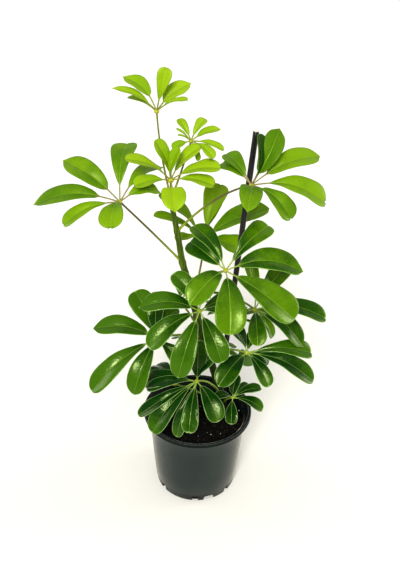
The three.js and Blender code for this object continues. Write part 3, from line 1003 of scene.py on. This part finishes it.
class Look:
    """One material's node tree, with short ways to add and join nodes."""

    def __init__(self, name, **settings):
        self.material = bpy.data.materials.new(name)
        self.material.use_nodes = True
        self.tree = self.material.node_tree
        self.shader = self.tree.nodes["Principled BSDF"]
        for key, value in settings.items():
            self.shader.inputs[key.replace("_", " ")].default_value = value

    def put(self, socket, value):
        """Joins a node's output to a socket, or sets the socket to a value."""
        if isinstance(value, bpy.types.NodeSocket):
            self.tree.links.new(value, socket)
        elif isinstance(value, tuple) and len(socket.default_value) == 4:
            socket.default_value = (*value, 1)
        else:
            socket.default_value = value

    def node(self, kind, settings=None, **inputs):
        made = self.tree.nodes.new(kind)
        for key, value in (settings or {}).items():
            setattr(made, key, value)
        for key, value in inputs.items():
            self.put(made.inputs[key.replace("_", " ")], value)
        return made

    def place(self):
        """Where a point is on the object, in metres."""
        return self.node("ShaderNodeTexCoord").outputs["Object"]

    def stretched(self, scale):
        mapped = self.node("ShaderNodeMapping", Vector=self.place())
        mapped.inputs["Scale"].default_value = scale
        return mapped.outputs["Vector"]

    def channel(self, name):
        """The three numbers that a skin's points carry under this name."""
        read = self.node("ShaderNodeAttribute", {"attribute_name": name})
        split = self.node("ShaderNodeSeparateXYZ", Vector=read.outputs["Vector"])
        return split.outputs["X"], split.outputs["Y"], split.outputs["Z"]

    def noise(self, scale, detail=3, roughness=0.55, vector=None):
        made = self.node("ShaderNodeTexNoise", Scale=scale, Detail=detail, Roughness=roughness)
        self.put(made.inputs["Vector"], vector or self.place())
        return made.outputs["Fac"]

    def math(self, operation, a, b=0.0):
        made = self.node("ShaderNodeMath", {"operation": operation})
        self.put(made.inputs[0], a)
        self.put(made.inputs[1], b)
        return made.outputs["Value"]

    def times(self, a, b):
        return self.math("MULTIPLY", a, b)

    def plus(self, a, b):
        return self.math("ADD", a, b)

    def band(self, value, low, high, to_low=0.0, to_high=1.0):
        """Turns low to high into to_low to to_high, softly."""
        made = self.node("ShaderNodeMapRange", {"interpolation_type": "SMOOTHSTEP"})
        names = ("From Min", "From Max", "To Min", "To Max")
        for name, number in zip(names, (low, high, to_low, to_high)):
            made.inputs[name].default_value = number
        self.put(made.inputs["Value"], value)
        return made.outputs["Result"]

    def mix(self, share, a, b):
        made = self.node("ShaderNodeMix", {"data_type": "RGBA"})
        self.put(made.inputs[0], share)
        self.put(made.inputs[6], a)
        self.put(made.inputs[7], b)
        return made.outputs[2]

    def bump(self, height, strength, distance, normal=None):
        made = self.node("ShaderNodeBump", Strength=strength, Distance=distance, Height=height)
        if normal:
            self.put(made.inputs["Normal"], normal)
        return made.outputs["Normal"]

    def finish(self, colour=None, roughness=None, normal=None):
        for name, value in (("Base Color", colour), ("Roughness", roughness), ("Normal", normal)):
            if value is not None:
                self.put(self.shader.inputs[name], value)
        return self.material


def leaf_look(age):
    """Blade, ribs, veins, edge, underside, stalks and hub of leaves of one age."""
    tint = (0.85, 1, age["sheen"], 1)
    look = Look("leaf_" + age["name"], Specular_IOR_Level=age["shine"], Specular_Tint=tint)
    u, s, seed = look.channel("blade")
    rib, rim, top = look.channel("edge")
    leaflet_stalk, leaf_stalk, hub = look.channel("kind")

    cloud = look.noise(38, 3)
    mottling = look.noise(330, 2)
    tone_and_painted_shading = look.plus(look.times(cloud, 0.75), look.times(mottling, 0.2))
    tone_and_painted_shading = look.plus(tone_and_painted_shading, look.times(seed, 0.3))
    # Blades grow lighter towards the tip and darker at the hub end: painted light towards the tip,
    # painted shade towards the hub
    painted_light_to_tip = look.times(look.math("SUBTRACT", s, 0.5), age["painted_tip_light"])
    tone_and_painted_shading = look.plus(tone_and_painted_shading, painted_light_to_tip)
    # Given tones near 1 and above lighten a leaflet here, painted light; random blotches vary the
    # green otherwise
    colour = look.mix(look.band(tone_and_painted_shading, 0.35, 0.85), age["dark"], age["light"])
    # Given tones below 0 pull a leaflet towards the shaded green: painted shade
    colour = look.mix(look.band(seed, -2, -0.3, 0.9, 0), colour, SHADED_GREEN)

    # Side veins leave the rib and sweep towards the tip
    sweep = look.times(look.math("POWER", look.math("ABSOLUTE", u), 0.8), 0.13)
    phase = look.times(look.math("SUBTRACT", s, sweep), 13)
    phase = look.plus(phase, look.times(look.noise(60, 2), 0.8))
    saw = look.math("ABSOLUTE", look.math("SUBTRACT", look.math("FRACT", phase), 0.5))
    vein = look.band(saw, 0.02, 0.14, 1, 0)
    vein = look.times(vein, look.band(rib, 0.5, 2.5))
    colour = look.mix(look.times(vein, 0.03), colour, age["rib"])

    # A pale rib that thins towards the tip, and a thin pale edge
    rib_reach = look.math("SUBTRACT", 0.85, look.times(s, 0.6))
    rib_line = look.band(look.math("DIVIDE", rib, rib_reach), 0.4, 1.1, 1, 0)
    colour = look.mix(look.times(rib_line, age["rib_share"]), colour, age["rib"])
    rim_line = look.band(rim, 0.2, 1.0, 1, 0)
    colour = look.mix(look.times(rim_line, 0.75), colour, age["rim"])
    under = look.band(top, 0.3, 0.7, 1, 0)
    colour = look.mix(look.times(under, 0.75), colour, age["under"])

    # Stalks and the hub
    mottle = look.band(look.noise(240, 3), 0.3, 0.7)
    stalk_colour = look.mix(look.times(mottle, 0.4), age["leaflet_stalk"], age["rib"])
    colour = look.mix(leaflet_stalk, colour, stalk_colour)
    long_stalk = look.mix(look.band(s, 0.08, 0.6), age["leaf_stalk"], age["leaf_stalk_end"])
    long_stalk = look.mix(look.times(mottle, 0.35), long_stalk, age["dark"])
    colour = look.mix(leaf_stalk, colour, long_stalk)
    hub_colour = look.mix(mottle, (0.34, 0.30, 0.03), (0.30, 0.36, 0.03))
    colour = look.mix(hub, colour, hub_colour)

    quilt = look.times(vein, -age["quilt"])
    pores = look.noise(420, 2)
    lumps = look.noise(190, 3, 0.6)
    height = look.plus(quilt, look.times(lumps, age["lumps"]))
    normal = look.bump(height, 0.3, 0.0004)
    normal = look.bump(pores, 0.5, age["pores"], normal)
    gloss = look.band(look.noise(70, 3), 0.3, 0.7, age["gloss"] - 0.04, age["gloss"] + 0.06)
    gloss = look.plus(gloss, look.times(under, 0.22))
    return look.finish(colour, gloss, normal)


def stem_look():
    look = Look("stem_bark", Specular_IOR_Level=0.1)
    place = look.node("ShaderNodeSeparateXYZ", Vector=look.place())
    height = place.outputs["Z"]
    streak = look.noise(1, 4, 0.6, look.stretched((420, 420, 60)))
    streaks = look.band(streak, 0.35, 0.65)
    young = look.mix(streaks, (0.085, 0.135, 0.012), (0.035, 0.065, 0.006))
    old = look.mix(streaks, (0.020, 0.033, 0.006), (0.007, 0.013, 0.002))
    colour = look.mix(look.band(height, 0.15, 0.36, 1, 0), young, old)
    dots = look.band(look.noise(520, 1), 0.66, 0.74)
    colour = look.mix(look.times(dots, 0.3), colour, (0.12, 0.12, 0.05))
    rough = look.band(streak, 0.3, 0.7, 0.45, 0.65)
    return look.finish(colour, rough, look.bump(streak, 0.5, 0.0005))


def stake_look():
    look = Look("stake_cane", Specular_IOR_Level=0.35)
    streak = look.noise(1, 4, 0.6, look.stretched((700, 700, 26)))
    colour = look.mix(look.band(streak, 0.42, 0.68), (0.003, 0.003, 0.003), (0.022, 0.019, 0.015))
    rough = look.band(streak, 0.3, 0.7, 0.35, 0.6)
    return look.finish(colour, rough, look.bump(streak, 0.4, 0.0004))


def cut_look():
    look = Look("stake_cut", Specular_IOR_Level=0.3)
    grain = look.noise(900, 3)
    colour = look.mix(look.band(grain, 0.35, 0.7), (0.78, 0.74, 0.64), (0.5, 0.44, 0.34))
    return look.finish(colour, look.band(grain, 0.3, 0.7, 0.6, 0.8), look.bump(grain, 0.4, 0.0003))


def pot_look():
    look = Look("pot_plastic", Specular_Tint=(0.84, 1, 0.97, 1), Sheen_Roughness=0.25)
    look.put(look.shader.inputs["Sheen Tint"], (1, 0.92, 0.66))
    place = look.node("ShaderNodeSeparateXYZ", Vector=look.place())
    height = place.outputs["Z"]
    dust = look.noise(1, 5, 0.6, look.stretched((34, 34, 9)))
    scuff = look.noise(1, 3, 0.7, look.stretched((260, 260, 30)))
    colour = look.mix(look.band(dust, 0.4, 0.75), (0.003, 0.007, 0.0065), (0.008, 0.013, 0.012))
    scratches = look.times(look.band(scuff, 0.62, 0.8), 0.3)
    colour = look.mix(scratches, colour, (0.07, 0.065, 0.055))
    film = look.band(height, 0.0, 0.03, 0.2, 0.0)
    colour = look.mix(film, colour, (0.05, 0.045, 0.035))

    # The foot and the rim are duller than the wall, and their colour is darkened towards black as
    # painted shade; the rim's two ridges carry pale lines, painted highlights broken up by wear.
    foot = look.band(height, 0.0105, 0.0135, 1, 0)
    rim = look.band(height, 0.1125, 0.1145)
    dull_and_painted_shade = look.math("MAXIMUM", foot, rim)
    specular = look.math("SUBTRACT", 0.48, look.times(dull_and_painted_shade, 0.33))
    # Painted highlight: pale lines along the crests of the rim's two ridges, broken up by scuffs
    ridges = look.band(height, 0.1192, 0.1199)
    worn_and_painted_highlight = look.times(ridges, look.band(scuff, 0.3, 0.6, 0.1, 0.5))
    # Painted shade: the foot and the rim darkened towards black
    colour = look.mix(look.times(dull_and_painted_shade, 0.6), colour, (0.001, 0.002, 0.0015))
    colour = look.mix(worn_and_painted_highlight, colour, (0.10, 0.11, 0.10))
    rough = look.band(dust, 0.3, 0.8, 0.16, 0.28)
    rough = look.plus(rough, look.times(scuff, 0.06))
    rough = look.plus(rough, look.times(rim, 0.28))
    grain = look.noise(900, 2)
    normal = look.bump(grain, 0.12, 0.0002)
    look.put(look.shader.inputs["Specular IOR Level"], specular)
    sheen = look.math("SUBTRACT", 0.22, look.times(dull_and_painted_shade, 0.2))
    look.put(look.shader.inputs["Sheen Weight"], sheen)
    return look.finish(colour, rough, look.bump(scuff, 0.1, 0.0004, normal))


def soil_look():
    look = Look("soil_mix", Specular_IOR_Level=0.1)
    clods = look.noise(260, 5, 0.65)
    fine = look.noise(900, 3)
    colour = look.mix(look.band(clods, 0.35, 0.7), (0.0018, 0.0017, 0.0016), (0.008, 0.0068, 0.006))
    specks = look.times(look.band(fine, 0.62, 0.75), 0.4)
    colour = look.mix(specks, colour, (0.025, 0.018, 0.013))
    normal = look.bump(fine, 0.7, 0.0006, look.bump(clods, 0.9, 0.0014))
    return look.finish(colour, look.band(clods, 0.3, 0.7, 0.75, 0.95), normal)


def crumb_look(name, dark, light, middling):
    look = Look(name, Specular_IOR_Level=0.15)
    grain = look.noise(620, 4, 0.6)
    colour = look.mix(look.band(grain, 0.35, 0.68), dark, light)
    rough = look.band(grain, 0.3, 0.7, middling - 0.1, middling + 0.08)
    return look.finish(colour, rough, look.bump(grain, 0.6, 0.0005))


def floor_look():
    look = Look("floor", Specular_IOR_Level=0.2)
    place = look.node("ShaderNodeSeparateXYZ", Vector=look.place())
    # The floor is painted darker near the plant and paler further back: painted shade near, painted
    # light far
    back = look.plus(place.outputs["Y"], look.times(look.noise(1.5, 2), 0.3))
    colour = look.mix(look.band(back, -0.4, 2.2), (0.68, 0.67, 0.635), (0.88, 0.875, 0.86))
    return look.finish(colour, 0.7)


# Studio


def make_floor():
    mesh = bpy.data.meshes.new("floor")
    mesh.from_pydata(FLOOR_CORNERS, [], [(0, 1, 2, 3)])
    mesh.materials.append(floor_look())
    add_object("floor", mesh)


def make_camera():
    pitch, roll = math.radians(CAMERA_PITCH), math.radians(CAMERA_ROLL)
    ahead = Vector((0, math.cos(pitch), -math.sin(pitch)))
    level = Vector((1, 0, 0))
    rise = Vector((0, math.sin(pitch), math.cos(pitch)))
    right = level * math.cos(roll) + rise * math.sin(roll)
    up = rise * math.cos(roll) - level * math.sin(roll)
    camera = add_object("camera", bpy.data.cameras.new("camera"))
    camera.data.sensor_width = SENSOR_WIDTH
    camera.data.lens = SENSOR_WIDTH * FOCAL_LENGTH_PIXELS / PICTURE_LONG_SIDE
    camera.data.clip_start = 0.05
    camera.data.clip_end = 60
    turn = Matrix((right, up, -ahead)).transposed().to_4x4()
    camera.matrix_world = Matrix.Translation(Vector(CAMERA_PLACE) * MM) @ turn
    bpy.context.scene.camera = camera


def make_light(name, place, target, size, power, colour):
    """A soft round lamp that faces its target."""
    data = bpy.data.lights.new(name, "AREA")
    data.shape = "DISK"
    data.size = size
    data.energy = power
    data.color = colour
    light = add_object(name, data)
    light.location = place
    aim = Vector(target) - Vector(place)
    light.rotation_euler = aim.to_track_quat("-Z", "Y").to_euler()


def make_key_light():
    """A broad light far off, above and behind the camera, that lights the floor evenly."""
    data = bpy.data.lights.new("key", "SUN")
    data.energy = KEY_STRENGTH
    data.angle = math.radians(KEY_SPREAD)
    data.color = KEY_COLOUR
    light = add_object("key", data)
    light.rotation_euler = Vector(KEY_DIRECTION).to_track_quat("-Z", "Y").to_euler()


def make_sky():
    """Light from all round, dimmer at the horizon than overhead."""
    world = bpy.data.worlds.new("studio")
    world.use_nodes = True
    tree = world.node_tree
    sky = tree.nodes["Background"]
    sky.inputs["Color"].default_value = (1, 0.995, 0.97, 1)
    split = tree.nodes.new("ShaderNodeSeparateXYZ")
    rise = tree.nodes.new("ShaderNodeMapRange")
    rise.inputs["To Min"].default_value = HORIZON_LIGHT
    rise.inputs["To Max"].default_value = ZENITH_LIGHT
    direction = tree.nodes.new("ShaderNodeTexCoord").outputs["Generated"]
    tree.links.new(direction, split.inputs["Vector"])
    tree.links.new(split.outputs["Z"], rise.inputs["Value"])
    tree.links.new(rise.outputs["Result"], sky.inputs["Strength"])
    bpy.context.scene.world = world


def make_studio():
    make_floor()
    make_camera()
    make_light("front", *FRONT_LAMP)
    make_key_light()
    make_light("left", *LEFT_LAMP)
    make_light("right", *RIGHT_LAMP)
    make_sky()
    bpy.context.scene.view_settings.view_transform = "Standard"
    bpy.context.scene.view_settings.look = "Medium High Contrast"


def make_plant():
    looks = {age["name"]: leaf_look(age) for age in (YOUNG, GROWN, MATURE, OLD)}
    draw = random.Random(LEAF_SEED)
    for name, leaf in LEAVES.items():
        make_leaf(name, leaf, looks[leaf["age"]["name"]], draw)
    make_stem(stem_look())
    make_stake(stake_look(), cut_look())
    make_pot(pot_look())
    make_soil(soil_look())
    perlite = crumb_look("perlite", (0.25, 0.24, 0.22), (0.6, 0.59, 0.56), 0.8)
    bark = crumb_look("bark_bits", (0.004, 0.003, 0.0025), (0.02, 0.013, 0.009), 0.8)
    fibre = crumb_look("fibres", (0.02, 0.015, 0.01), (0.09, 0.065, 0.04), 0.7)
    make_crumbs(perlite, bark, fibre, random.Random(SOIL_SEED))


make_plant()
make_studio()

bpy.context.view_layer.update()
